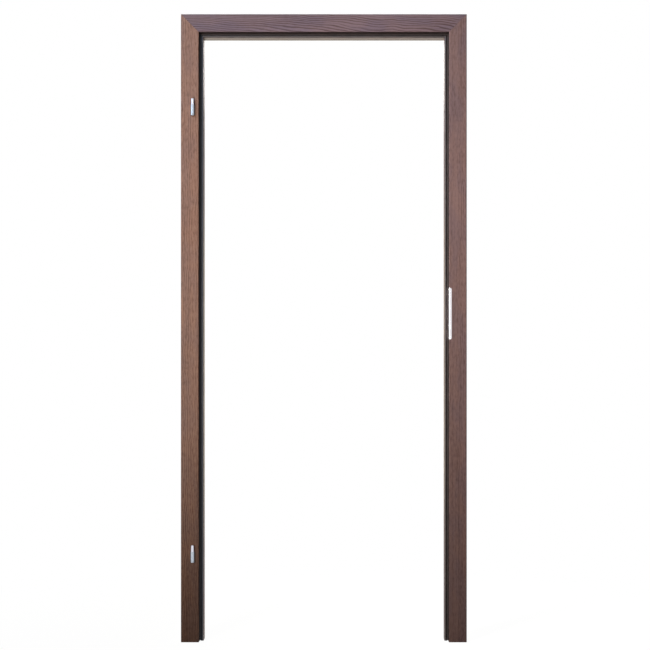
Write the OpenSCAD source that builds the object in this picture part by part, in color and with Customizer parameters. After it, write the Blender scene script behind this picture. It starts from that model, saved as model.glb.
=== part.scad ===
// Wooden door frame for a single rebated leaf, hinged on the left and closing on the right.
// Two jambs and a head share one rebated section and meet in mitres. A hollow seal sits in
// a groove of the stop, two pin hinges stand on the face and an angled strike plate wraps
// the edge of the rebate. Millimetres, +X to the right, +Y into the wall, +Z up.

/* [Passage] */
// Clear width between the two stops
passage_w = 800; // [600:1:1000]
// Clear height from the floor to the stop of the head
passage_h = 2002; // [1900:1:2300]

/* [Frame section] */
// Width of the face seen from the front
face_w = 59; // [50:1:90]
// Depth of the section from face to back
frame_d = 75; // [68:1:140]
// Width of the rebate, which is how far the stop stands into the passage
rebate_w = 13; // [13:0.5:18]
// Depth of the rebate that takes the leaf
rebate_d = 28; // [26:0.5:34]
// Radius of the eased long edges
edge_r = 3; // [2.5:0.25:3.5]

/* [Seal] */
// Width of the groove that holds the seal's foot
groove_w = 3.4; // [3:0.1:4]
// Depth of that groove behind the stop's front
groove_d = 7; // [6:0.5:9]
// Distance of the groove from the rebate's side
groove_in = 1; // [0.5:0.25:1.5]
// Outer radius of the hollow bulb
bulb_r = 3.75; // [3.25:0.05:3.9]
// Wall of the hollow bulb
bulb_wall = 1; // [0.8:0.1:1.4]
// Distance of the bulb's centre in front of the stop
bulb_out = 2.2; // [1.8:0.1:2.6]
// Distance of the bulb's centre from the rebate's side
bulb_in = 9; // [8.5:0.1:9.2]
// Thickness of the flange that lies on the stop
flange_t = 1.2; // [0.8:0.1:1.6]
// Height of the jamb seals' lower ends above the floor
seal_lift = 2; // [1:0.5:10]

/* [Hinges] */
// Drop of the upper hinge's joint line below the rebate of the head
hinge_drop = 242; // [150:1:350]
// Height of the lower hinge's joint line above the floor
hinge_rise = 300; // [150:1:400]
// Distance of the pin's axis from the edge of the rebate
hinge_in = 20; // [16:0.5:26]
// Distance of the pin's axis in front of the face
hinge_out = 10; // [9:0.5:14]
// Diameter of the barrel
barrel_d = 11.5; // [10.5:0.25:16]
// Length of the barrel
barrel_l = 30; // [28:0.5:44]
// Diameter of the steel pin
pin_d = 7; // [6:0.25:7.5]
// Height of the pin above the joint line
pin_rise = 21.5; // [21.5:0.5:30]
// Outer diameter of the bearing sleeve
sleeve_d = 9; // [8.75:0.25:10]
// Height of the sleeve with its flange
sleeve_l = 20; // [16:0.5:20.5]
// Thickness of the sleeve's flange
sleeve_flange_t = 1.2; // [0.8:0.1:2]
// Height of the domed end cap
cap_h = 6; // [4:0.5:8]
// Length of the cap's spigot in the barrel
cap_spigot = 4; // [2:0.5:4.5]
// Diameter of the two studs that hold a hinge
stud_d = 6; // [5:0.5:7]
// Distance between the two studs
stud_spacing = 18; // [16:0.5:20]
// Length of a stud in the wood
stud_hold = 32; // [20:1:40]

/* [Strike plate] */
// Height of the plate's middle above the floor
strike_z = 1085; // [900:1:1200]
// Length of the plate
plate_l = 170; // [160:1:200]
// Sheet thickness
plate_t = 1.5; // [1:0.1:2]
// Width of the leg on the face
plate_face_leg = 9; // [7:0.5:14]
// Width of the leg in the rebate
plate_rebate_leg = 24; // [22:0.5:25]
// Radius of the legs' outer corners
plate_r = 5; // [3:0.5:6]
// Distance of the latch, bolt and screws behind the face
lock_in = 13; // [12:0.25:14]
// Width of the latch and bolt openings
lock_slot_w = 12; // [10:0.5:14]
// Height of the latch opening
latch_slot_h = 38; // [34:1:42]
// Height of the bolt opening
bolt_slot_h = 30; // [26:1:34]
// Corner radius of both openings
slot_r = 2.5; // [1:0.5:4]
// Depth of the two mortises behind the plate
mortise_d = 24; // [18:1:30]
// Extra width of a mortise on each side of its opening
mortise_margin = 2; // [1:0.5:3]
// Distance of the outer screws from the plate's ends
strike_screw_end = 13; // [9:0.5:15]
// Shank diameter of the strike plate's screws
strike_screw_d = 3.5; // [3:0.25:4]
// Head diameter of those screws
strike_screw_head_d = 7; // [6:0.25:8]
// Length of those screws with their heads
strike_screw_l = 30; // [20:1:40]

/* [Corner joints] */
// Diameter of the dowels across each mitre
dowel_d = 10; // [8:0.5:10]
// Length of a dowel
dowel_l = 50; // [40:1:56]
// Distance of the dowels from the face and from the back
dowel_edge = 13; // [10:0.5:14]
// Distance of the front dowel from the outer corner, measured along the face width
dowel_in = 30; // [28:0.5:34]
// Shank diameter of the corner screws
tie_d = 6; // [5:0.5:7]
// Head diameter of the corner screws
tie_head_d = 11; // [10:0.5:12]
// Length of a corner screw
tie_l = 110; // [90:1:140]
// Distance of the screws from the face and from the back
tie_edge = 26; // [25:0.5:28]
// Depth of the screws' height below the top of the frame
tie_down = 35; // [30:0.5:40]
// Depth of the counterbore that hides a screw's head
tie_sink = 6; // [4:0.5:10]

/* [Fits] */
// Clearance around pins, studs, dowels and screws
fit = 0.05; // [0.02:0.01:0.1]
// Clearance around the strike plate in its recess
recess_fit = 0.15; // [0.05:0.05:0.3]

/* [Hidden] */
$fn = 64;

// Whole frame, and the length of the slanted face at each mitre
outer_w = passage_w + 2 * rebate_w + 2 * face_w;
outer_h = passage_h + rebate_w + face_w;
section_w = face_w + rebate_w;
mitre_l = section_w * sqrt(2);
past = 1;

// The face lies this far from the middle of the overall depth, hinges included
hinge_reach = hinge_out + barrel_d / 2;
face_y = (hinge_reach - frame_d) / 2;

// Hinge places, from the floor to each joint line
upper_hinge_z = passage_h + rebate_w - hinge_drop;
lower_hinge_z = hinge_rise;
hinge_u = face_w - hinge_in;
pin_end_gap = 1;
pin_seat = barrel_l - cap_spigot - pin_end_gap;
barrel_chamfer = 0.6;
pin_chamfer = 1.2;
stud_tip = 4;
cap_neck = 1;
cap_dome = 1.25;
dowel_chamfer = 1.5;
dowel_flutes = 8;
flute_d = 1.6;
tie_tip_r = 0.5;
tie_head_fit = 4 * fit;
strike_screw_tip_r = 0.3;
sleeve_flange_d = barrel_d - 2 * barrel_chamfer;

// Outer screws of the strike plate, and the latch and bolt openings midway between its screws
strike_screw_reach = plate_l / 2 - strike_screw_end;
latch_z = strike_screw_reach / 2;
bolt_z = -strike_screw_reach / 2;

// Groove and foot of the seal, across the section
groove_u = face_w + groove_in + groove_w / 2;
barb_reach = 0.9;
barb_rise = 1.2;
foot_end_gap = 0.5;
foot_half = groove_w / 2 - barb_reach;
barb_half = groove_w / 2 - fit;
foot_l = groove_d - foot_end_gap;

wood = "#6f5248";
rubber = "#3a3736";
steel = "#c9ccd0";
bright_steel = "#e4e6ea";
beech = "#c8a878";

// Waste outside a rounded convex corner at the origin, whose body lies towards +X and +Y
module corner_waste(r) {
    difference() {
        translate([-past, -past]) square(r + past);
        translate([r, r]) circle(r);
    }
}

// One rebated section: X runs from the wall to the passage, Y from the face to the back
module frame_section() {
    difference() {
        square([section_w, frame_d]);
        translate([face_w, -past]) square([rebate_w + past, rebate_d + past]);
        translate([face_w + groove_in, rebate_d - past]) square([groove_w, groove_d + past]);
        corner_waste(edge_r);
        translate([face_w, 0]) mirror([1, 0]) corner_waste(edge_r);
        translate([section_w, rebate_d]) mirror([1, 0]) corner_waste(edge_r);
        translate([section_w, frame_d]) rotate(180) corner_waste(edge_r);
        translate([0, frame_d]) mirror([0, 1]) corner_waste(edge_r);
    }
}

// Foot of the seal: a stem with two rows of barbs that grip the groove's walls
module seal_foot() {
    barb_step = (foot_l - barb_rise) / 2;
    translate([groove_u - foot_half, rebate_d - flange_t / 2])
        square([2 * foot_half, foot_l - barb_rise + flange_t / 2]);
    for (k = [1, 2])
        translate([groove_u, rebate_d + k * barb_step])
            polygon([[-barb_half, 0], [barb_half, 0], [foot_half / 2, barb_rise], [-foot_half / 2, barb_rise]]);
}

// Hollow seal: barbed foot, flange on the stop and a bulb that the leaf presses flat
module seal_section() {
    seal_foot();
    difference() {
        intersection() {
            union() {
                translate([face_w + bulb_in, rebate_d - bulb_out]) circle(bulb_r);
                translate([face_w + fit, rebate_d - flange_t]) square([bulb_in, flange_t]);
            }
            translate([face_w, 0]) square([rebate_w, rebate_d]);
        }
        intersection() {
            translate([face_w + bulb_in, rebate_d - bulb_out]) circle(bulb_r - bulb_wall);
            translate([face_w, 0]) square([rebate_w, rebate_d - flange_t]);
        }
    }
}

// Everything is drawn with the face at Y = 0 and then centred in depth
module in_depth() {
    translate([0, face_y, 0]) children();
}

// Sides of the frame: X = 0 becomes the wall side of a jamb, and +X points into the passage
module on_hinge_side() {
    translate([-outer_w / 2, 0, 0]) children();
}

module on_strike_side() {
    mirror([1, 0, 0]) on_hinge_side() children();
}

// A block on one side of the mitre plane, which starts at the outer top corner of a jamb
module mitre_block(above) {
    translate([0, 0, outer_h]) rotate([0, 45, 0])
        translate([-mitre_l / 2, -past, above ? 0 : -mitre_l])
            cube([2 * mitre_l, frame_d + 2 * past, mitre_l]);
}

// A section run up a jamb from a height, mitred at the top
module jamb_run(from = 0) {
    difference() {
        translate([0, 0, from]) linear_extrude(outer_h - from) children();
        mitre_block(true);
    }
}

// A section run along the head, mitred at both ends
module head_run() {
    difference() {
        translate([-outer_w / 2, 0, outer_h]) rotate([0, 90, 0]) linear_extrude(outer_w) children();
        on_hinge_side() mitre_block(false);
        on_strike_side() mitre_block(false);
    }
}

// Pointed round bar along +Z from the origin, such as a stud or a screw's shank
module pointed_bar(d, l, tip) {
    rotate_extrude() polygon([[0, 0], [d / 2, 0], [d / 2, l - tip], [d / 8, l], [0, l]]);
}

// Places its children at each dowel, along +Z across the mitre, for a jamb drawn at X = 0
module at_dowels() {
    for (v = [dowel_edge, frame_d - dowel_edge])
        translate([dowel_in, v, outer_h - dowel_in]) rotate([0, 45, 0]) children();
}

// Places its children at each corner screw, pointing into the frame along +X
module at_ties() {
    for (v = [tie_edge, frame_d - tie_edge])
        translate([0, v, outer_h - tie_down]) rotate([0, 90, 0]) children();
}

// Bore of a dowel
module dowel_bore() {
    cylinder(r = dowel_d / 2 + fit, h = dowel_l + 2 * fit, center = true);
}

// Fluted dowel with chamfered ends, so that glue can rise past it
module dowel() {
    r = dowel_d / 2;
    difference() {
        rotate_extrude() polygon([
            [0, -dowel_l / 2], [r - dowel_chamfer, -dowel_l / 2], [r, dowel_chamfer - dowel_l / 2],
            [r, dowel_l / 2 - dowel_chamfer], [r - dowel_chamfer, dowel_l / 2], [0, dowel_l / 2]
        ]);
        for (k = [1:dowel_flutes]) rotate(k * 360 / dowel_flutes)
            translate([r + flute_d / 4, 0, 0]) cylinder(d = flute_d, h = dowel_l + 2 * past, center = true);
    }
}

// Countersunk corner screw, with its head at the bottom of the counterbore
module tie_screw(grow = 0) {
    head_h = (tie_head_d - tie_d) / 2;
    translate([0, 0, tie_sink])
        rotate_extrude() polygon([
            [0, 0], [tie_head_d / 2 + grow, 0], [tie_d / 2 + grow, head_h],
            [tie_d / 2 + grow, tie_l - tie_d], [tie_tip_r + grow, tie_l + grow], [0, tie_l + grow]
        ]);
}

// All that is bored into the wood at one corner
module corner_bores() {
    at_dowels() dowel_bore();
    at_ties() {
        tie_screw(fit);
        translate([0, 0, -past]) cylinder(r = tie_head_d / 2 + tie_head_fit, h = tie_sink + past);
    }
}

// Places its children at the two studs of a hinge, pointing along +Y from the pin's axis
module at_studs() {
    for (side = [-1, 1])
        translate([0, 0, -barrel_l / 2 + side * stud_spacing / 2]) rotate([-90, 0, 0]) children();
}

// Places its children on the pin's axis at a joint line, for a jamb drawn at X = 0
module at_hinge(joint_z) {
    translate([hinge_u, -hinge_out, joint_z]) children();
}

// Stud bores that both the barrel and the jamb share
module stud_bores() {
    at_studs() cylinder(r = stud_d / 2 + fit, h = hinge_out + stud_hold + past);
}

module hinge_barrel() {
    r = barrel_d / 2;
    color(steel) difference() {
        rotate_extrude() polygon([
            [pin_d / 2 + fit, 0], [r - barrel_chamfer, 0], [r, -barrel_chamfer],
            [r, barrel_chamfer - barrel_l], [r - barrel_chamfer, -barrel_l], [pin_d / 2 + fit, -barrel_l]
        ]);
        stud_bores();
    }
}

module hinge_studs() {
    start = pin_d / 2 + fit;
    color(steel) at_studs() translate([0, 0, start])
        pointed_bar(stud_d, hinge_out + stud_hold - start, stud_tip);
}

module hinge_pin() {
    r = pin_d / 2;
    color(steel) rotate_extrude() polygon([
        [0, -pin_seat], [r, -pin_seat], [r, pin_rise - pin_chamfer], [r - pin_chamfer, pin_rise], [0, pin_rise]
    ]);
}

// Bearing sleeve on the pin: its flange carries the leaf's half of the hinge
module hinge_sleeve() {
    bore_r = pin_d / 2 + fit;
    color(bright_steel) rotate_extrude() polygon([
        [bore_r, 0], [sleeve_flange_d / 2, 0], [sleeve_flange_d / 2, sleeve_flange_t],
        [sleeve_d / 2, sleeve_flange_t], [sleeve_d / 2, sleeve_l], [bore_r, sleeve_l]
    ]);
}

// Domed cap that closes the foot of the barrel, with a shadow line under the barrel
module hinge_cap() {
    r = barrel_d / 2;
    color(steel) translate([0, 0, -barrel_l]) {
        translate([0, 0, -cap_neck]) cylinder(r = pin_d / 2 - fit, h = cap_neck + cap_spigot);
        translate([0, 0, -cap_neck]) cylinder(r = r - 2 * barrel_chamfer, h = cap_neck);
        intersection() {
            translate([0, 0, -cap_neck - cap_h]) cylinder(r = r, h = cap_h);
            translate([0, 0, -cap_neck - cap_h + r * cap_dome]) sphere(r * cap_dome);
        }
    }
}

module rounded_slot(w, h, r) {
    square([w - 2 * r, h], center = true);
    square([w, h - 2 * r], center = true);
    for (x = [-1, 1], y = [-1, 1]) translate([x * (w / 2 - r), y * (h / 2 - r)]) circle(r);
}

// The wood under the plate, whose edge is eased to the inside of the bend
module wrapped_edge(depth) {
    difference() {
        translate([0, depth]) square([face_w - depth, frame_d]);
        translate([face_w - depth, depth]) mirror([1, 0]) corner_waste(edge_r - depth);
    }
}

// Section of the strike plate, one sheet bent round the eased edge of the rebate
module plate_section() {
    difference() {
        translate([face_w - plate_face_leg, 0]) square([plate_face_leg, plate_rebate_leg]);
        translate([face_w, 0]) mirror([1, 0]) corner_waste(edge_r);
        wrapped_edge(plate_t);
    }
}

// Section of the recess that takes the plate, open towards the face and the rebate
module recess_section() {
    difference() {
        translate([face_w - plate_face_leg - recess_fit, -past])
            square([plate_face_leg + recess_fit + past, plate_rebate_leg + recess_fit + past]);
        wrapped_edge(plate_t + recess_fit);
    }
}

// Runs a section to the plate's length and rounds the outer corners of both legs
module plate_run(grow = 0) {
    l = plate_l + 2 * grow;
    r = plate_r + grow;
    t = plate_t + grow;
    difference() {
        translate([0, 0, -l / 2]) linear_extrude(l) children();
        for (end = [0, 1]) mirror([0, 0, end]) translate([0, 0, -l / 2]) {
            translate([face_w - plate_face_leg - grow, t + past, 0]) rotate([90, 0, 0])
                linear_extrude(t + 2 * past) corner_waste(r);
            translate([face_w - t - past, plate_rebate_leg + grow, 0]) rotate([90, 0, 90])
                linear_extrude(t + 2 * past) mirror([1, 0]) corner_waste(r);
        }
    }
}

// Cuts its outline from the rebate's side into the wood. X of the outline runs along the frame's
// depth and Y upwards
module into_rebate_side(depth) {
    translate([face_w - depth, lock_in, 0]) rotate([90, 0, 90]) linear_extrude(depth + past) children();
}

// Countersunk screw from the rebate's side into the wood, at each of the three places
module at_strike_screws() {
    for (z = [-strike_screw_reach, 0, strike_screw_reach])
        translate([face_w, lock_in, z]) rotate([0, -90, 0]) children();
}

module strike_screw(grow = 0) {
    head_h = (strike_screw_head_d - strike_screw_d) / 2;
    r = strike_screw_d / 2 + grow;
    rotate_extrude() polygon([
        [0, 0], [strike_screw_head_d / 2 + grow, 0], [r, head_h], [r, strike_screw_l - strike_screw_d],
        [strike_screw_tip_r + grow, strike_screw_l + grow], [0, strike_screw_l + grow]
    ]);
}

module lock_mortises() {
    margin = 2 * mortise_margin;
    into_rebate_side(mortise_d) {
        translate([0, latch_z])
            rounded_slot(lock_slot_w + margin, latch_slot_h + margin, slot_r + mortise_margin);
        translate([0, bolt_z])
            rounded_slot(lock_slot_w + margin, bolt_slot_h + margin, slot_r + mortise_margin);
    }
}

module strike_plate() {
    color(steel) in_depth() on_strike_side() translate([0, 0, strike_z]) difference() {
        plate_run() plate_section();
        into_rebate_side(plate_t + past) {
            translate([0, latch_z]) rounded_slot(lock_slot_w, latch_slot_h, slot_r);
            translate([0, bolt_z]) rounded_slot(lock_slot_w, bolt_slot_h, slot_r);
        }
        at_strike_screws() strike_screw(fit);
    }
}

module strike_screws() {
    color(steel) in_depth() on_strike_side() translate([0, 0, strike_z]) at_strike_screws() strike_screw();
}

module hinge_jamb() {
    color(wood) in_depth() on_hinge_side() difference() {
        jamb_run() frame_section();
        corner_bores();
        for (z = [upper_hinge_z, lower_hinge_z]) at_hinge(z) stud_bores();
    }
}

module strike_jamb() {
    color(wood) in_depth() on_strike_side() difference() {
        jamb_run() frame_section();
        corner_bores();
        translate([0, 0, strike_z]) {
            plate_run(recess_fit) recess_section();
            lock_mortises();
            at_strike_screws() strike_screw(fit);
        }
    }
}

module head() {
    color(wood) in_depth() difference() {
        head_run() frame_section();
        on_hinge_side() corner_bores();
        on_strike_side() corner_bores();
    }
}

module hinge_jamb_seal() {
    color(rubber) in_depth() on_hinge_side() jamb_run(seal_lift) seal_section();
}

module strike_jamb_seal() {
    color(rubber) in_depth() on_strike_side() jamb_run(seal_lift) seal_section();
}

module head_seal() {
    color(rubber) in_depth() head_run() seal_section();
}

module upper_hinge() {
    in_depth() on_hinge_side() at_hinge(upper_hinge_z) children();
}

module lower_hinge() {
    in_depth() on_hinge_side() at_hinge(lower_hinge_z) children();
}

module hinge_corner_dowels() {
    color(beech) in_depth() on_hinge_side() at_dowels() dowel();
}

module strike_corner_dowels() {
    color(beech) in_depth() on_strike_side() at_dowels() dowel();
}

module hinge_corner_screws() {
    color(steel) in_depth() on_hinge_side() at_ties() tie_screw();
}

module strike_corner_screws() {
    color(steel) in_depth() on_strike_side() at_ties() tie_screw();
}

hinge_jamb();
strike_jamb();
head();
hinge_jamb_seal();
strike_jamb_seal();
head_seal();
upper_hinge() hinge_barrel();  // upper_hinge_barrel
upper_hinge() hinge_studs();  // upper_hinge_studs
upper_hinge() hinge_pin();  // upper_hinge_pin
upper_hinge() hinge_sleeve();  // upper_hinge_sleeve
upper_hinge() hinge_cap();  // upper_hinge_cap
lower_hinge() hinge_barrel();  // lower_hinge_barrel
lower_hinge() hinge_studs();  // lower_hinge_studs
lower_hinge() hinge_pin();  // lower_hinge_pin
lower_hinge() hinge_sleeve();  // lower_hinge_sleeve
lower_hinge() hinge_cap();  // lower_hinge_cap
strike_plate();
strike_screws();
hinge_corner_dowels();
strike_corner_dowels();
hinge_corner_screws();
strike_corner_screws();
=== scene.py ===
import math
from typing import NamedTuple

import bmesh
import bpy
from bpy.props import FloatProperty, FloatVectorProperty, IntProperty, PointerProperty
from mathutils import Matrix, Vector


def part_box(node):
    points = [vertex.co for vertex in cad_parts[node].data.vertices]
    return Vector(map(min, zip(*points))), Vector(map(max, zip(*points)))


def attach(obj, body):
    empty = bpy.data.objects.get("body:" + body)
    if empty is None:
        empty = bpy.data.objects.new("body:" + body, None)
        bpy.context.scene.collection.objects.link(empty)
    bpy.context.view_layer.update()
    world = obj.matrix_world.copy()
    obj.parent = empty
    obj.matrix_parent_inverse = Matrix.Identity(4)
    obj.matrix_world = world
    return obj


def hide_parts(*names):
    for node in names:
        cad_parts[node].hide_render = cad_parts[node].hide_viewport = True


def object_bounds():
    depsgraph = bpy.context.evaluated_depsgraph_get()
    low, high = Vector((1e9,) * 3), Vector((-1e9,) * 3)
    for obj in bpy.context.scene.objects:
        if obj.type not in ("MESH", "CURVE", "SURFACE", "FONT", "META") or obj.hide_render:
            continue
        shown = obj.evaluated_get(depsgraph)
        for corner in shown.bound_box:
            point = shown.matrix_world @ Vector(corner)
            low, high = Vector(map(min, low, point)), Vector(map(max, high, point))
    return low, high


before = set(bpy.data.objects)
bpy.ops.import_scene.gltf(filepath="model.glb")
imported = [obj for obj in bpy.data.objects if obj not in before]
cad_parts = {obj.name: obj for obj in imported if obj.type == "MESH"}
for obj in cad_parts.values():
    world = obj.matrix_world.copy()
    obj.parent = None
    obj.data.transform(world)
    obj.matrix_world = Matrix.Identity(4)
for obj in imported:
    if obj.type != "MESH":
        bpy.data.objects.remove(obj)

bl_info = {
    "name": "Wooden door frame",
    "version": (1, 0, 0),
    "blender": (4, 5, 0),
    "location": "3D View > Sidebar > Door frame",
    "description": "Stained oak, seal, hinges, strike plate, screws and a stage for a rebated door frame",
    "category": "Object",
}

MILLIMETRE = 0.001
# Length of the seal's foot in the groove behind the stop's front
GROOVE_FOOT = 6.5 * MILLIMETRE

# Places that follow from the frame
FRAME_LOW, FRAME_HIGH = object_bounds()
JAMB_LOW, JAMB_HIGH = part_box("hinge_jamb")
FACE_Y = JAMB_LOW[1]
BACK_Y = JAMB_HIGH[1]
HALF_WIDTH = FRAME_HIGH[0]
STOP_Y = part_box("strike_jamb_seal")[1][1] - GROOVE_FOOT
REBATE_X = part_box("strike_jamb_seal")[1][0]
TOP_Z = FRAME_HIGH[2]
FACE_WIDTH = HALF_WIDTH - REBATE_X
BODY = "root"

# Shank of a screw over its head, in the strike plate and in the corners
STRIKE_SHANK, CORNER_SHANK = 1 / 2, 6 / 11

# Sizes of the patterns in the oak: across the grain, into the depth and along the grain
SWAY = (330 * MILLIMETRE, 330 * MILLIMETRE, 450 * MILLIMETRE)
SWELL = (110 * MILLIMETRE, 110 * MILLIMETRE, 320 * MILLIMETRE)
RIPPLE = (50 * MILLIMETRE, 50 * MILLIMETRE, 140 * MILLIMETRE)
CLOUD = (70 * MILLIMETRE, 70 * MILLIMETRE, 330 * MILLIMETRE)
DRIFT = (42 * MILLIMETRE, 42 * MILLIMETRE, 140 * MILLIMETRE)
STREAK = (6.7 * MILLIMETRE, 6.7 * MILLIMETRE, 400 * MILLIMETRE)
DASH = (5.5 * MILLIMETRE, 5.5 * MILLIMETRE, 17 * MILLIMETRE)
FLECK = (2.4 * MILLIMETRE, 17 * MILLIMETRE, 14 * MILLIMETRE)
FIBRE = (1.1 * MILLIMETRE, 1.1 * MILLIMETRE, 110 * MILLIMETRE)


def colour_property(name, description, default):
    return FloatVectorProperty(name=name, description=description, subtype="COLOR", size=3,
                               min=0.0, max=1.0, default=default)


def length_property(name, description, default):
    return FloatProperty(name=name, description=description, default=default, min=0.0, unit="LENGTH",
                         precision=5)


class OakSettings(bpy.types.PropertyGroup):
    late_wood: colour_property("Late wood", "Stained colour of the dense late wood", (0.300, 0.168, 0.128))
    early_wood: colour_property("Early wood", "Darker colour of the porous early wood", (0.155, 0.080, 0.058))
    pore: colour_property("Pores", "Stain that has settled in the pores", (0.045, 0.024, 0.019))
    # Painted shade: a near-black colour laid over the rebate's side, where shade falls
    painted_rebate_shade: colour_property("Corner stain", "Stain that has pooled in the rebate",
                                  (0.020, 0.011, 0.009))
    cool_cast: colour_property("Cool cast", "Multiplies the colour where the stain runs cool",
                               (0.88, 0.92, 1.0))
    pore_width: length_property("Pore width", "Width of a pore", 0.00045)
    pore_length: length_property("Pore length", "Length of a pore on a long face", 0.009)
    lacquer: FloatProperty(name="Lacquer", description="Roughness of the satin lacquer", default=0.42,
                           min=0.0, max=1.0, subtype="FACTOR")


class SealSettings(bpy.types.PropertyGroup):
    rubber: colour_property("Rubber", "Colour of the seal", (0.035, 0.035, 0.039))
    roughness: FloatProperty(name="Roughness", description="Roughness of the seal's skin", default=0.5,
                             min=0.0, max=1.0, subtype="FACTOR")


class MetalSettings(bpy.types.PropertyGroup):
    # The blue in the nickel and the bright steel is a painted reflection of cool light; their grey is the
    # metals' own
    nickel: colour_property("Nickel", "Satin nickel of the barrels, caps and studs", (0.45, 0.50, 0.57))
    plate_nickel: colour_property("Plate nickel", "Bright nickel of the strike plate", (0.82, 0.80, 0.83))
    bright_steel: colour_property("Bright steel", "Ground pins and bearing sleeves", (0.70, 0.71, 0.80))
    zinc: colour_property("Zinc", "Zinc plating of the corner screws", (0.62, 0.63, 0.61))
    roughness: FloatProperty(name="Roughness", description="Roughness of the satin metal", default=0.3,
                             min=0.0, max=1.0, subtype="FACTOR")


class ScrewSettings(bpy.types.PropertyGroup):
    sides: IntProperty(name="Sides", description="Faces round a screw", default=48, min=16, max=96)
    recess_span: FloatProperty(name="Recess span", description="Width of the recess over that of the head",
                               default=0.62, min=0.3, max=0.8, subtype="FACTOR")
    turns: IntProperty(name="Turns", description="Turns of the thread on a screw", default=18, min=6, max=40)


class StageSettings(bpy.types.PropertyGroup):
    camera_distance: length_property("Camera distance", "From the lens to the face of the frame", 4.85)
    camera_side: FloatProperty(name="Camera side", description="From the middle to the lens, rightward",
                               default=0.087, unit="LENGTH")
    camera_height: length_property("Camera height", "Height of the lens above the floor", 0.94)
    shift_side: FloatProperty(name="Shift sideways", description="Sideways shift, in picture widths",
                              default=-0.03876, precision=5)
    shift_up: FloatProperty(name="Shift up", description="Upward shift, in picture widths",
                            default=0.0501, precision=5)
    focal_length: FloatProperty(name="Focal length", description="Focal length on a 36 mm sensor",
                                default=81.37, min=10.0, unit="CAMERA")
    key_power: FloatProperty(name="Key lamp", description="Power of the warm soft box at the left",
                             default=12.5, min=0.0, unit="POWER")
    cool_power: FloatProperty(name="Cool lamp", description="Power of the cool soft box at the upper left",
                              default=8.7, min=0.0, unit="POWER")
    back_power: FloatProperty(name="Back lamp", description="Power of the low warm soft box behind the frame",
                              default=18.0, min=0.0, unit="POWER")
    rear_power: FloatProperty(name="Rear lamp", description="Power of the high soft box behind the frame",
                              default=26.0, min=0.0, unit="POWER")
    room_light: FloatProperty(name="Room light", description="Strength of the light from all round",
                              default=0.07, min=0.0)
    floor_size: length_property("Floor size", "Side of the square floor", 9.0)
    floor_level: FloatProperty(name="Floor level", description="Brightness of the unshaded floor's paint",
                               default=0.1, min=0.0, max=1.0)
    shadow: FloatProperty(name="Shadow", description="How much of the object's shadow the floor keeps",
                          default=0.3, min=0.0, max=0.9, subtype="FACTOR")


class DoorFrameSettings(bpy.types.PropertyGroup):
    oak: PointerProperty(type=OakSettings)
    seal: PointerProperty(type=SealSettings)
    metal: PointerProperty(type=MetalSettings)
    screw: PointerProperty(type=ScrewSettings)
    stage: PointerProperty(type=StageSettings)


class Socket:
    """An output socket of a shader node. Arithmetic on it adds Math nodes to its recipe."""

    def __init__(self, recipe, socket):
        self.recipe = recipe
        self.socket = socket

    def __add__(self, other):
        return self.recipe.maths("ADD", self, other)

    def __sub__(self, other):
        return self.recipe.maths("SUBTRACT", self, other)

    def __mul__(self, other):
        return self.recipe.maths("MULTIPLY", self, other)

    def __truediv__(self, other):
        return self.recipe.maths("DIVIDE", self, other)

    def __pow__(self, other):
        return self.recipe.maths("POWER", self, other)

    def __rsub__(self, other):
        return self.recipe.maths("SUBTRACT", other, self)

    def __abs__(self):
        return self.recipe.maths("ABSOLUTE", self)

    __radd__ = __add__
    __rmul__ = __mul__


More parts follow.
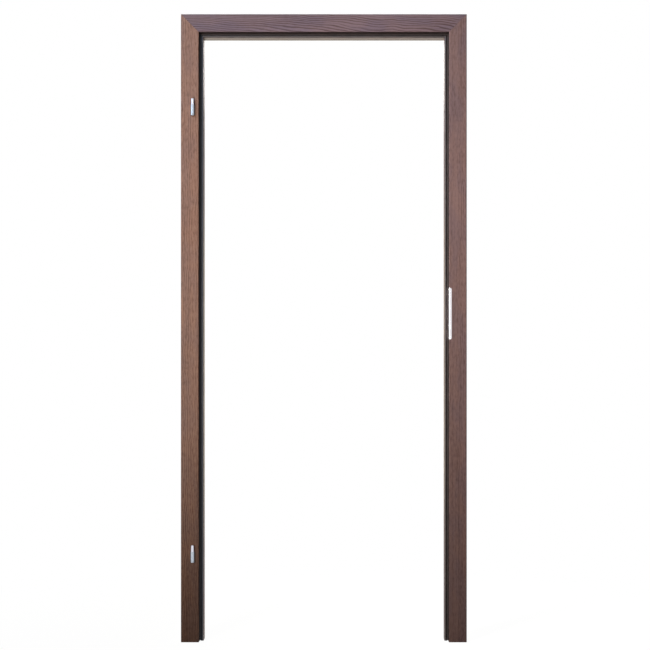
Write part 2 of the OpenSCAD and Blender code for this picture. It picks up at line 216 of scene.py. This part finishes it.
class Recipe:
    """A node tree under construction."""

    def __init__(self, owner):
        owner.use_nodes = True
        self.tree = owner.node_tree
        self.tree.nodes.clear()

    def add(self, kind, inputs=None, output=0, stops=None, **settings):
        """Adds a node: its settings come first, then the values or links of its inputs."""
        node = self.tree.nodes.new(kind)
        for name, value in settings.items():
            setattr(node, name, value)
        if stops:
            ramp = node.color_ramp
            while len(ramp.elements) < len(stops):
                ramp.elements.new(1.0)
            for element, (position, colour) in zip(ramp.elements, stops):
                element.position = position
                element.color = (*colour, 1.0)
        for name, value in (inputs or {}).items():
            if isinstance(value, Socket):
                self.tree.links.new(value.socket, node.inputs[name])
            else:
                node.inputs[name].default_value = value
        return Socket(self, node.outputs[output])

    def maths(self, operation, *values):
        return self.add("ShaderNodeMath", dict(enumerate(values)), operation=operation)

    def object_place(self):
        """The three coordinates of the shaded point, in the frame's own metres."""
        place = self.add("ShaderNodeTexCoord", output="Object")
        parts = self.add("ShaderNodeSeparateXYZ", {0: place}).socket.node
        return [Socket(self, output) for output in parts.outputs]

    def vector(self, x, y, z):
        return self.add("ShaderNodeCombineXYZ", {0: x, 1: y, 2: z})

    def noise(self, x, y, z, detail=1.0, roughness=0.5):
        """Soft noise around 0.5 with features about one unit wide."""
        return self.add("ShaderNodeTexNoise", {
            "Vector": self.vector(x, y, z), "Scale": 1.0, "Detail": detail, "Roughness": roughness})

    def rise(self, value, low, high):
        """0 below low, 1 above high and a smooth step between."""
        return self.add("ShaderNodeMapRange", {"Value": value, "From Min": low, "From Max": high},
                        interpolation_type="SMOOTHSTEP")

    def mix(self, factor, first, second):
        """A colour between first, where factor is 0, and second, where it is 1."""
        colours = [c if isinstance(c, Socket) else (*c, 1.0) for c in (first, second)]
        return self.add("ShaderNodeMix", {0: factor, 6: colours[0], 7: colours[1]}, output=2,
                        data_type="RGBA")

    def tinted(self, factor, colour, cast):
        """The colour, multiplied by a cast where factor is 1."""
        return self.add("ShaderNodeMix", {0: factor, 6: colour, 7: (*cast, 1.0)}, output=2,
                        data_type="RGBA", blend_type="MULTIPLY")

    def bump(self, height, strength, distance):
        return self.add("ShaderNodeBump", {"Height": height, "Strength": strength, "Distance": distance})

    def surface(self, **inputs):
        """Ends the recipe with one principled surface."""
        named = {name.replace("_", " "): value for name, value in inputs.items()}
        shader = self.add("ShaderNodeBsdfPrincipled", named)
        self.add_output("ShaderNodeOutputMaterial", shader)

    def add_output(self, kind, shader):
        node = self.tree.nodes.new(kind)
        self.tree.links.new(shader.socket, node.inputs["Surface"])


def new_recipe(name):
    """A new material and the recipe that fills it."""
    material = bpy.data.materials.new(name)
    return material, Recipe(material)


def dress(objects, material):
    """Gives each object this one material all over."""
    for obj in objects:
        obj.data.materials.clear()
        obj.data.materials.append(material)


def nodes(*names):
    return [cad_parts[name] for name in names]


class Cut(NamedTuple):
    """How a member lies in its tree and takes the stain."""
    grain: str  # axis along the member
    middle: float  # place of the face's middle line, across the member
    pith_aside: float  # from that line to the tree's middle
    pith_deep: float  # from the face back to the tree's middle
    lean: float  # tilt of the tree into the depth, for each metre along the grain
    ring: float  # one year's growth
    wave: float  # how many rings the lines swing
    figure: float  # how dark the early wood shows
    mottle: float  # how strong the short dashes are
    seed: float
    tint: tuple  # multiplies the colours


def mitre_mask(recipe, x, z):
    """1 on the mitre planes of both top corners, 0 from a millimetre away."""
    line_half, line_soft = 0.2 * MILLIMETRE, 1.1 * MILLIMETRE
    offset = (HALF_WIDTH - abs(x)) - (TOP_Z - z)
    distance = abs(offset) * math.sqrt(0.5)
    return 1.0 - recipe.rise(distance, line_half, line_soft)


def rebate_shade_mask(recipe, x, y, z):
    """1 on the side of the rebate, from its eased edge to the stop, where shade is painted, else 0."""
    edge, soft, margin = 0.6 * MILLIMETRE, 2.6 * MILLIMETRE, 3 * MILLIMETRE
    behind_face = recipe.rise(y, FACE_Y + edge, FACE_Y + soft)
    before_stop = 1.0 - recipe.rise(y, STOP_Y, STOP_Y + MILLIMETRE)
    inside = recipe.maths("LESS_THAN", abs(x), REBATE_X + margin)
    below_head = recipe.maths("LESS_THAN", z, TOP_Z - FACE_WIDTH + margin)
    return behind_face * before_stop * inside * below_head


def oak_material(name, cut, settings):
    """Stained oak, solid through the member, with the rings, pores, rays and stain of its cut, and painted
    shade in its rebate.
    """
    material, oak = new_recipe(name)
    x, y, z = oak.object_place()
    along, beside = (z, x) if cut.grain == "Z" else (x, z)
    across, deep = beside - cut.middle, y - FACE_Y

    def spots(size, detail=2.0):
        """Noise with features of a size, given across the grain, into the depth and along the grain."""
        return oak.noise(across / size[0] + cut.seed, deep / size[1], along / size[2], detail=detail)

    # The tree's axis wanders, which draws the arches on a flat-sawn face
    wander, bend = 10 * MILLIMETRE, 22 * MILLIMETRE
    from_pith_across = across - cut.pith_aside + (spots(SWAY) - 0.5) * wander
    from_pith_deep = deep - cut.pith_deep + along * cut.lean + (spots(SWELL) - 0.5) * bend
    radius = (from_pith_across * from_pith_across + from_pith_deep * from_pith_deep) ** 0.5
    rings = radius / cut.ring + (spots(RIPPLE) - 0.5) * cut.wave

    # Each year starts with a porous dark band and turns denser and lighter
    year = oak.maths("FLOOR", rings)
    season = oak.maths("FRACT", rings)
    vigour = oak.add("ShaderNodeTexWhiteNoise", {"W": year + cut.seed}, noise_dimensions="1D")
    early = (1.0 - oak.rise(season, 0.12, 0.62)) * oak.rise(season, 0.0, 0.05)

    # Pores are long on the faces and round on the end grain
    pores = spots((settings.pore_width, settings.pore_width, settings.pore_length), detail=1.0)
    pores = oak.rise(pores, 0.60, 0.72) * (early * 0.75 + 0.25)

    # Late and early wood, shaded by streaks, dashes, fibres and clouds
    streak, fibre = spots(STREAK), spots(FIBRE)
    shade = early * (vigour * 0.7 + 0.3) * cut.figure + (spots(DASH) - 0.5) * cut.mottle
    shade = shade + (streak - 0.5) * 0.9 + (fibre - 0.5) * 0.5 + (spots(CLOUD) - 0.5) * 0.9
    late = tuple(c * t for c, t in zip(settings.late_wood, cut.tint))
    dark = tuple(c * t for c, t in zip(settings.early_wood, cut.tint))
    colour = oak.mix(oak.rise(shade, -0.15, 0.95), late, dark)

    # Rays cross the grain as short bright flecks, and the stain drifts to a cooler cast
    fleck = oak.rise(spots(FLECK, detail=1.0), 0.66, 0.78)
    drift = oak.rise(spots(DRIFT), 0.40, 0.62)
    colour = oak.mix(fleck * 0.12, colour, tuple(min(1.0, c * 1.45) for c in late))
    colour = oak.tinted(drift, colour, settings.cool_cast)

    # Stain settles in the pores and on the mitres; the rebate, where the lacquer is dull, gets painted shade
    rebate = rebate_shade_mask(oak, x, y, z)
    colour = oak.mix(pores * 0.75, colour, tuple(settings.pore))
    colour = oak.mix(mitre_mask(oak, x, z) * 0.2, colour, tuple(settings.pore))
    # Painted shade: darkens the rebate's side almost to black
    colour = oak.mix(rebate * 0.95, colour, tuple(settings.painted_rebate_shade))

    relief = fibre * 0.25 - pores - early * 0.2
    oak.surface(
        Base_Color=colour, Roughness=pores * 0.25 + (streak - 0.5) * 0.1 + rebate * 0.45 + settings.lacquer,
        Normal=oak.bump(relief, 0.35, 0.12 * MILLIMETRE), Specular_IOR_Level=0.15)
    return material


class DOORFRAME_OT_oak(bpy.types.Operator):
    """Stains the jambs and the head, each cut from its own place in the tree"""
    bl_idname = "doorframe.oak"
    bl_label = "Stained oak"

    def execute(self, context):
        jamb_x, head_z = HALF_WIDTH - FACE_WIDTH / 2, TOP_Z - FACE_WIDTH / 2
        cuts = {
            "hinge_jamb": Cut(
                grain="Z", middle=-jamb_x, pith_aside=-75 * MILLIMETRE, pith_deep=70 * MILLIMETRE,
                lean=0.010, ring=4.2 * MILLIMETRE, wave=2.4, figure=1.5, mottle=2.2, seed=3.0,
                tint=(1.21, 1.15, 1.03)),
            "strike_jamb": Cut(
                grain="Z", middle=jamb_x, pith_aside=80 * MILLIMETRE, pith_deep=75 * MILLIMETRE,
                lean=-0.006, ring=3.4 * MILLIMETRE, wave=2.0, figure=0.9, mottle=1.7, seed=11.0,
                tint=(0.87, 0.91, 1.04)),
            # The head's cool tint is partly its board's own tone and partly a painted cool sheen on its
            # lacquer
            "head": Cut(
                grain="X", middle=head_z, pith_aside=-56 * MILLIMETRE, pith_deep=85 * MILLIMETRE,
                lean=-0.050, ring=3.9 * MILLIMETRE, wave=3.0, figure=1.8, mottle=0.8, seed=7.0,
                tint=(0.80, 0.90, 1.19)),
        }
        for node, cut in cuts.items():
            dress(nodes(node), oak_material(f"stained_oak_{node}", cut, context.scene.door_frame.oak))
        return {"FINISHED"}


def rubber_material(name, tint, settings):
    """Matt seal with the faint orange peel of extruded rubber, tinted by a painted light cast."""
    material, rubber = new_recipe(name)
    x, y, z = rubber.object_place()
    peel = rubber.noise(x * 2600.0, y * 2600.0, z * 1300.0, detail=2.0)
    bloom = rubber.noise(x * 40.0, y * 40.0, z * 9.0, detail=3.0)
    # The tint is painted light: it lightens, darkens and tints the one rubber for each length
    base = tuple(c * t for c, t in zip(settings.rubber, tint))
    colour = rubber.mix(rubber.rise(bloom, 0.35, 0.75), base, tuple(c * 1.5 for c in base))
    rubber.surface(
        Base_Color=colour, Roughness=bloom * 0.16 + (settings.roughness - 0.08),
        Normal=rubber.bump(peel, 0.25, 0.05 * MILLIMETRE), IOR=1.52)
    return material


class DOORFRAME_OT_seal(bpy.types.Operator):
    """Gives the three lengths of seal their rubber, each with its own painted light cast"""
    bl_idname = "doorframe.seal"
    bl_label = "Seal"

    def execute(self, context):
        seal = context.scene.door_frame.seal
        # Painted light on one rubber: bluish on the hinge jamb, lighter and warmer on the strike jamb,
        # browner under the head
        painted_light_casts = {"hinge_jamb_seal": (0.9, 0.95, 1.15), "strike_jamb_seal": (1.4, 1.0, 0.82),
                 "head_seal": (1.05, 0.72, 0.58)}
        for node, tint in painted_light_casts.items():
            dress(nodes(node), rubber_material(node, tint, seal))
        return {"FINISHED"}


def turned_metal_material(name, colour, roughness):
    """Satin metal with the fine rings of a lathe, for parts turned about an upright axis."""
    material, metal = new_recipe(name)
    x, y, z = metal.object_place()
    rings = metal.noise(x * 60.0, y * 60.0, z * 7000.0, detail=2.0)
    breath = metal.noise(x * 300.0, y * 300.0, z * 120.0, detail=3.0)
    metal.surface(
        Base_Color=metal.mix(rings, tuple(c * 0.93 for c in colour), tuple(colour)), Metallic=1.0,
        Roughness=rings * 0.10 + breath * 0.08 + (roughness - 0.09),
        Normal=metal.bump(rings, 0.12, 0.02 * MILLIMETRE))
    return material


def brushed_plate_material(name, colour, roughness):
    """Satin metal brushed along an upright plate."""
    material, metal = new_recipe(name)
    x, y, z = metal.object_place()
    strokes = metal.noise(x * 5200.0, y * 5200.0, z * 26.0, detail=3.0, roughness=0.6)
    breath = metal.noise(x * 90.0, y * 90.0, z * 30.0, detail=3.0)
    metal.surface(
        Base_Color=metal.mix(strokes, tuple(c * 0.92 for c in colour), tuple(colour)), Metallic=1.0,
        Roughness=strokes * 0.12 + breath * 0.08 + (roughness - 0.10),
        Normal=metal.bump(strokes, 0.15, 0.02 * MILLIMETRE))
    return material


def zinc_material(colour):
    """Zinc plating: pale, slightly blotched by the bath."""
    material, zinc = new_recipe("zinc")
    x, y, z = zinc.object_place()
    blotch = zinc.noise(x * 240.0, y * 240.0, z * 240.0, detail=4.0)
    grit = zinc.noise(x * 6000.0, y * 6000.0, z * 6000.0, detail=1.0)
    zinc.surface(
        Base_Color=zinc.mix(blotch, tuple(c * 0.8 for c in colour), tuple(colour)), Metallic=1.0,
        Roughness=blotch * 0.2 + grit * 0.06 + 0.22, Normal=zinc.bump(grit, 0.1, 0.02 * MILLIMETRE))
    return material


class DOORFRAME_OT_hinges(bpy.types.Operator):
    """Finishes both hinges: nickel barrels, studs and caps, bright steel pins and sleeves"""
    bl_idname = "doorframe.hinges"
    bl_label = "Hinges"

    def execute(self, context):
        metal = context.scene.door_frame.metal
        nickel = turned_metal_material("nickel_turned", metal.nickel, metal.roughness)
        bright = turned_metal_material("bright_steel_turned", metal.bright_steel, metal.roughness)
        for hinge in ("upper_hinge", "lower_hinge"):
            dress(nodes(*(f"{hinge}_{part}" for part in ("barrel", "studs", "cap"))), nickel)
            dress(nodes(*(f"{hinge}_{part}" for part in ("pin", "sleeve"))), bright)
        return {"FINISHED"}


class DOORFRAME_OT_strike_plate(bpy.types.Operator):
    """Brushes the strike plate along its length"""
    bl_idname = "doorframe.strike_plate"
    bl_label = "Strike plate"

    def execute(self, context):
        metal = context.scene.door_frame.metal
        nickel = brushed_plate_material("nickel_brushed", metal.plate_nickel, metal.roughness)
        dress(nodes("strike_plate"), nickel)
        return {"FINISHED"}


def beech_material():
    """Raw beech with the grain along dowels that lie at 45 degrees."""
    pale, ruddy, ray = (0.62, 0.43, 0.25), (0.46, 0.29, 0.15), (0.33, 0.18, 0.09)
    material, beech = new_recipe("beech")
    x, y, z = beech.object_place()
    along, across = (abs(x) + z) * math.sqrt(0.5), (abs(x) - z) * math.sqrt(0.5)
    grain = beech.noise(along * 30.0, across * 900.0, y * 900.0, detail=3.0)
    fleck = beech.rise(beech.noise(along * 400.0, across * 1500.0, y * 500.0), 0.62, 0.70)
    colour = beech.mix(fleck * 0.5, beech.mix(grain, ruddy, pale), ray)
    beech.surface(Base_Color=colour, Roughness=grain * 0.2 + 0.5,
                  Normal=beech.bump(grain, 0.2, 0.1 * MILLIMETRE))
    return material


class DOORFRAME_OT_dowels(bpy.types.Operator):
    """Gives the dowels in the mitres their raw beech"""
    bl_idname = "doorframe.dowels"
    bl_label = "Dowels"

    def execute(self, context):
        dress(nodes("hinge_corner_dowels", "strike_corner_dowels"), beech_material())
        return {"FINISHED"}


def deselect_all():
    if bpy.context.object and bpy.context.object.mode != "OBJECT":
        bpy.ops.object.mode_set(mode="OBJECT")
    bpy.ops.object.select_all(action="DESELECT")


def select_only(*objects):
    """Selects these objects alone and makes the first one active."""
    deselect_all()
    for obj in objects:
        obj.select_set(True)
    bpy.context.view_layer.objects.active = objects[0]


def select_faces(obj, wanted):
    """In edit mode, selects the faces for which wanted(face) holds, and nothing else."""
    bpy.ops.mesh.select_mode(type="FACE")
    bpy.ops.mesh.select_all(action="DESELECT")
    mesh = bmesh.from_edit_mesh(obj.data)
    for face in mesh.faces:
        face.select_set(wanted(face))
    bmesh.update_edit_mesh(obj.data)


def extrude_to(obj, z, radius_now, radius_next):
    """Extrudes the selected end face to a height and scales it from one radius to the next."""
    mesh = bmesh.from_edit_mesh(obj.data)
    here = max(v.co.z for v in mesh.verts if v.select)
    bpy.ops.mesh.extrude_region_move(TRANSFORM_OT_translate={"value": (0.0, 0.0, z - here)})
    ratio = radius_next / radius_now
    bpy.ops.transform.resize(value=(ratio, ratio, 1.0), center_override=(0.0, 0.0, z))


def screw_blank(name, head_r, shank_r, length, settings):
    """A countersunk screw along +Z with its flat head at the origin: rim, cone, shank, thread and point."""
    sides = settings.sides
    rim = 0.06 * head_r
    cone_end = head_r - shank_r
    tip = 3.0 * shank_r
    root_r = 0.74 * shank_r
    thread_start, thread_end = 0.3 * length + shank_r, length - 1.2 * tip
    deselect_all()
    bpy.ops.mesh.primitive_cylinder_add(vertices=sides, radius=head_r, depth=rim,
                                        location=(0.0, 0.0, rim / 2), end_fill_type="NGON")
    screw = bpy.context.object
    screw.name = name
    bpy.ops.object.transform_apply(location=True)
    bpy.ops.object.mode_set(mode="EDIT")
    select_faces(screw, lambda face: face.normal.z > 0.9)
    outline = [
        (cone_end, shank_r), (thread_start - shank_r, shank_r), (thread_start - shank_r / 2, root_r),
        (length - tip, root_r), (length - 0.1 * tip, 0.12 * root_r), (length, 0.02 * root_r)]
    radius = head_r
    for z, next_radius in outline:
        extrude_to(screw, z, radius, next_radius)
        radius = next_radius
    bpy.ops.object.mode_set(mode="OBJECT")
    press_recess(screw, head_r, settings.recess_span)
    ridge = thread_ridge(shank_r, thread_start, thread_end, settings.turns, sides)
    select_only(screw, ridge)
    bpy.ops.object.join()
    return screw


def cross_cutter(head_r, span):
    """The two tapered blades that press the driver's recess into a head at the origin."""
    arm, width, depth = span * head_r, 0.26 * head_r, 0.55 * head_r
    overlap, taper = 0.2 * head_r, 0.35
    blades = []
    for turn in (0.0, math.pi / 2):
        deselect_all()
        bpy.ops.mesh.primitive_cube_add(size=1.0, location=(0.0, 0.0, (depth - overlap) / 2))
        blade = bpy.context.object
        blade.scale = (2 * arm, width, depth + overlap)
        blade.rotation_euler = (0.0, 0.0, turn)
        bpy.ops.object.transform_apply(location=True, rotation=True, scale=True)
        bpy.ops.object.mode_set(mode="EDIT")
        select_faces(blade, lambda face: face.normal.z > 0.9)
        bpy.ops.transform.resize(value=(taper, taper, 1.0), center_override=(0.0, 0.0, depth))
        bpy.ops.object.mode_set(mode="OBJECT")
        blades.append(blade)
    return blades


def press_recess(screw, head_r, span):
    """Cuts the cross recess into the head."""
    for blade in cross_cutter(head_r, span):
        select_only(screw)
        cut = screw.modifiers.new("Recess", "BOOLEAN")
        cut.operation = "DIFFERENCE"
        cut.solver = "EXACT"
        cut.object = blade
        bpy.ops.object.modifier_apply(modifier=cut.name)
        bpy.data.objects.remove(blade, do_unlink=True)


def thread_ridge(shank_r, start, end, turns, sides):
    """A helical ridge from start to end of the shank: a triangle swept by the Screw modifier."""
    pitch = (end - start) / turns
    root_r, half = 0.70 * shank_r, 0.22 * pitch
    deselect_all()
    bpy.ops.mesh.primitive_circle_add(vertices=3, radius=half)
    ridge = bpy.context.object
    bpy.ops.object.mode_set(mode="EDIT")
    mesh = bmesh.from_edit_mesh(ridge.data)
    corners = [(root_r, 0.0, start - half), (shank_r, 0.0, start), (root_r, 0.0, start + half)]
    for vertex, corner in zip(mesh.verts, corners):
        vertex.co = Vector(corner)
    bmesh.update_edit_mesh(ridge.data)
    bpy.ops.object.mode_set(mode="OBJECT")
    sweep = ridge.modifiers.new("Thread", "SCREW")
    sweep.angle = 2 * math.pi
    sweep.screw_offset = pitch
    sweep.iterations = turns
    sweep.steps = sweep.render_steps = sides
    bpy.ops.object.modifier_apply(modifier=sweep.name)
    bpy.ops.object.mode_set(mode="EDIT")
    bpy.ops.mesh.select_all(action="SELECT")
    bpy.ops.mesh.remove_doubles(threshold=0.01 * half)
    bpy.ops.mesh.select_mode(type="EDGE")
    bpy.ops.mesh.select_all(action="DESELECT")
    bpy.ops.mesh.select_non_manifold()
    bpy.ops.mesh.fill_holes(sides=3)
    bpy.ops.mesh.select_all(action="SELECT")
    bpy.ops.mesh.normals_make_consistent(inside=False)
    bpy.ops.object.mode_set(mode="OBJECT")
    return ridge


def place_copies(blank, name, places, direction):
    """Copies a blank that points along +Z to each place, pointing along direction, as one object."""
    turn = Vector((0.0, 0.0, 1.0)).rotation_difference(Vector(direction)).to_matrix().to_4x4()
    copies = []
    for place in places:
        select_only(blank)
        bpy.ops.object.duplicate()
        copy = bpy.context.object
        copy.matrix_world = Matrix.Translation(place) @ turn
        bpy.ops.object.transform_apply(location=True, rotation=True, scale=True)
        copies.append(copy)
    select_only(*copies)
    if len(copies) > 1:
        bpy.ops.object.join()
    result = bpy.context.object
    result.name = name
    result.data.name = name
    return result


def screw_set(name, node, head_r, shank_r, length, places, direction, material, settings):
    """Replaces a node's plain screws by detailed ones at the same places."""
    blank = screw_blank(f"{name}_blank", head_r, shank_r, length, settings)
    piece = place_copies(blank, name, places, direction)
    bpy.data.objects.remove(blank, do_unlink=True)
    select_only(piece)
    bpy.ops.object.shade_smooth_by_angle(angle=math.radians(35.0))
    dress([piece], material)
    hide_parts(node)
    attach(piece, BODY)
    return piece


class DOORFRAME_OT_screws(bpy.types.Operator):
    """Models the countersunk screws of the strike plate and of both corners"""
    bl_idname = "doorframe.screws"
    bl_label = "Screws"

    def execute(self, context):
        settings = context.scene.door_frame
        metal = settings.metal
        nickel = turned_metal_material("nickel_screw", metal.plate_nickel, metal.roughness)
        low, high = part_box("strike_screws")
        head_r = (high[1] - low[1]) / 2
        middle_y, middle_z = (low[1] + high[1]) / 2, (low[2] + high[2]) / 2
        reach = (high[2] - low[2]) / 2 - head_r
        places = [(low[0], middle_y, middle_z + step * reach) for step in (-1, 0, 1)]
        strike = screw_set("strike_plate_screws", "strike_screws", head_r, head_r * STRIKE_SHANK,
                           high[0] - low[0], places, (1.0, 0.0, 0.0), nickel, settings.screw)

        zinc = zinc_material(metal.zinc)
        for node, side in (("hinge_corner_screws", 1.0), ("strike_corner_screws", -1.0)):
            low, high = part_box(node)
            head_r = (high[2] - low[2]) / 2
            start_x = low[0] if side > 0 else high[0]
            places = [(start_x, y, (low[2] + high[2]) / 2) for y in (low[1] + head_r, high[1] - head_r)]
            corner = screw_set(f"{node}_driven", node, head_r, head_r * CORNER_SHANK, high[0] - low[0],
                               places, (side, 0.0, 0.0), zinc, settings.screw)
        return {"FINISHED"}


def white_room(room_light):
    """The world: plain white where it is seen or mirrored, and a soft grey where it lights."""
    world = bpy.data.worlds.new("room")
    bpy.context.scene.world = world
    room = Recipe(world)
    light_path = room.add("ShaderNodeLightPath").socket.node.outputs
    seen = room.maths("MAXIMUM", Socket(room, light_path["Is Camera Ray"]),
                      Socket(room, light_path["Is Glossy Ray"]))
    seen = room.maths("MAXIMUM", seen, Socket(room, light_path["Is Transmission Ray"]))
    dim = room.add("ShaderNodeBackground", {"Color": (0.94, 0.97, 1.0, 1.0), "Strength": room_light})
    white = room.add("ShaderNodeBackground", {"Color": (1.0, 1.0, 1.0, 1.0), "Strength": 1.0})
    shader = room.add("ShaderNodeMixShader", {0: seen, 1: dim, 2: white})
    room.add_output("ShaderNodeOutputWorld", shader)


def floor_material(settings):
    """Pale floor that shows white and keeps the object's shadow near its feet."""
    shadow_near, shadow_far = 0.6, 1.7
    paint_dark, paint_light = (0.50, 0.50, 0.49), (0.56, 0.56, 0.55)
    material, floor = new_recipe("pale_floor")
    x, y, z = floor.object_place()
    reach = (x * x + y * y) ** 0.5
    keep = (1.0 - floor.rise(reach, shadow_near, shadow_far)) * settings.shadow
    light_path = floor.add("ShaderNodeLightPath").socket.node.outputs
    seen = floor.maths("MAXIMUM", Socket(floor, light_path["Is Camera Ray"]),
                       Socket(floor, light_path["Is Glossy Ray"]))
    seen = floor.maths("MAXIMUM", seen, Socket(floor, light_path["Is Transmission Ray"]))
    dust = floor.noise(x * 30.0, y * 30.0, z, detail=3.0)
    paint = floor.add("ShaderNodeBsdfDiffuse", {
        "Color": floor.mix(dust, paint_dark, paint_light), "Roughness": 0.6})
    # Where the floor is seen, its paint keeps a share, and white light makes up the rest
    strength = (1.0 - keep * settings.floor_level) / (1.0 - keep)
    white = floor.add("ShaderNodeEmission", {"Color": (1.0, 1.0, 1.0, 1.0), "Strength": strength})
    shader = floor.add("ShaderNodeMixShader", {0: seen * (1.0 - keep), 1: paint, 2: white})
    floor.add_output("ShaderNodeOutputMaterial", shader)
    return material


def soft_box(name, place, aim, size, spread, power, colour):
    """An oblong area lamp at a place, turned to a point. Its grid narrows the light to the spread."""
    lamp = bpy.data.lights.new(name, "AREA")
    lamp.shape = "RECTANGLE"
    lamp.size, lamp.size_y = size
    lamp.spread = spread
    lamp.energy = power
    lamp.color = colour
    obj = bpy.data.objects.new(name, lamp)
    bpy.context.scene.collection.objects.link(obj)
    obj.location = place
    obj.rotation_euler = (Vector(aim) - Vector(place)).to_track_quat("-Z", "Y").to_euler()
    obj.visible_camera = False
    return obj


class DOORFRAME_OT_stage(bpy.types.Operator):
    """Lays the pale floor and sets the room light, the lamps and the camera"""
    bl_idname = "doorframe.stage"
    bl_label = "Stage"

    def execute(self, context):
        stage = context.scene.door_frame.stage
        deselect_all()
        bpy.ops.mesh.primitive_grid_add(x_subdivisions=12, y_subdivisions=12, size=stage.floor_size)
        floor = context.object
        floor.name = "floor"
        dress([floor], floor_material(stage))
        white_room(stage.room_light)
        soft_box("key_lamp", place=(-1.19, FACE_Y - 2.35, 0.81), aim=(0.48, FACE_Y, 1.52), size=(0.6, 0.6),
                 spread=1.31, power=stage.key_power, colour=(1.0, 0.95, 0.90))
        soft_box("cool_lamp", place=(-1.65, FACE_Y - 2.32, 2.78), aim=(-0.07, FACE_Y, 2.29), size=(1.4, 0.6),
                 spread=1.09, power=stage.cool_power, colour=(0.62, 0.78, 1.0))
        soft_box("back_lamp", place=(-0.55, BACK_Y + 3.1, 0.9), aim=(0.0, 0.0, 1.1), size=(2.8, 1.6),
                 spread=math.pi, power=stage.back_power, colour=(1.0, 0.89, 0.58))
        soft_box("rear_lamp", place=(-0.3, BACK_Y + 2.9, 2.7), aim=(0.0, 0.0, 1.1), size=(1.6, 0.8),
                 spread=math.pi, power=stage.rear_power, colour=(1.0, 0.97, 0.93))

        camera = bpy.data.cameras.new("camera")
        camera.lens = stage.focal_length
        camera.sensor_width = 36.0
        camera.shift_x = stage.shift_side
        camera.shift_y = stage.shift_up
        obj = bpy.data.objects.new("camera", camera)
        context.scene.collection.objects.link(obj)
        obj.location = (stage.camera_side, FACE_Y - stage.camera_distance, stage.camera_height)
        obj.rotation_euler = (math.pi / 2, 0.0, 0.0)
        context.scene.camera = obj
        context.scene.view_settings.view_transform = "Standard"
        return {"FINISHED"}


class DOORFRAME_PT_panel(bpy.types.Panel):
    """Lists the steps of the door frame"""
    bl_idname = "DOORFRAME_PT_panel"
    bl_label = "Door frame"
    bl_space_type = "VIEW_3D"
    bl_region_type = "UI"
    bl_category = "Door frame"

    def draw(self, context):
        for step in STEPS:
            self.layout.operator(step.bl_idname)
        for group in ("oak", "seal", "metal", "screw", "stage"):
            settings = getattr(context.scene.door_frame, group)
            box = self.layout.box()
            for name in settings.__annotations__:
                box.prop(settings, name)


STEPS = (
    DOORFRAME_OT_oak, DOORFRAME_OT_seal, DOORFRAME_OT_hinges, DOORFRAME_OT_strike_plate,
    DOORFRAME_OT_dowels, DOORFRAME_OT_screws, DOORFRAME_OT_stage,
)
CLASSES = (
    OakSettings, SealSettings, MetalSettings, ScrewSettings, StageSettings, DoorFrameSettings,
    *STEPS, DOORFRAME_PT_panel,
)


def register():
    for cls in CLASSES:
        bpy.utils.register_class(cls)
    bpy.types.Scene.door_frame = PointerProperty(type=DoorFrameSettings)


def unregister():
    del bpy.types.Scene.door_frame
    for cls in reversed(CLASSES):
        bpy.utils.unregister_class(cls)


def main():
    register()
    bpy.ops.doorframe.oak()
    bpy.ops.doorframe.seal()
    bpy.ops.doorframe.hinges()
    bpy.ops.doorframe.strike_plate()
    bpy.ops.doorframe.dowels()
    bpy.ops.doorframe.screws()
    bpy.ops.doorframe.stage()


if __name__ == "__main__":
    main()
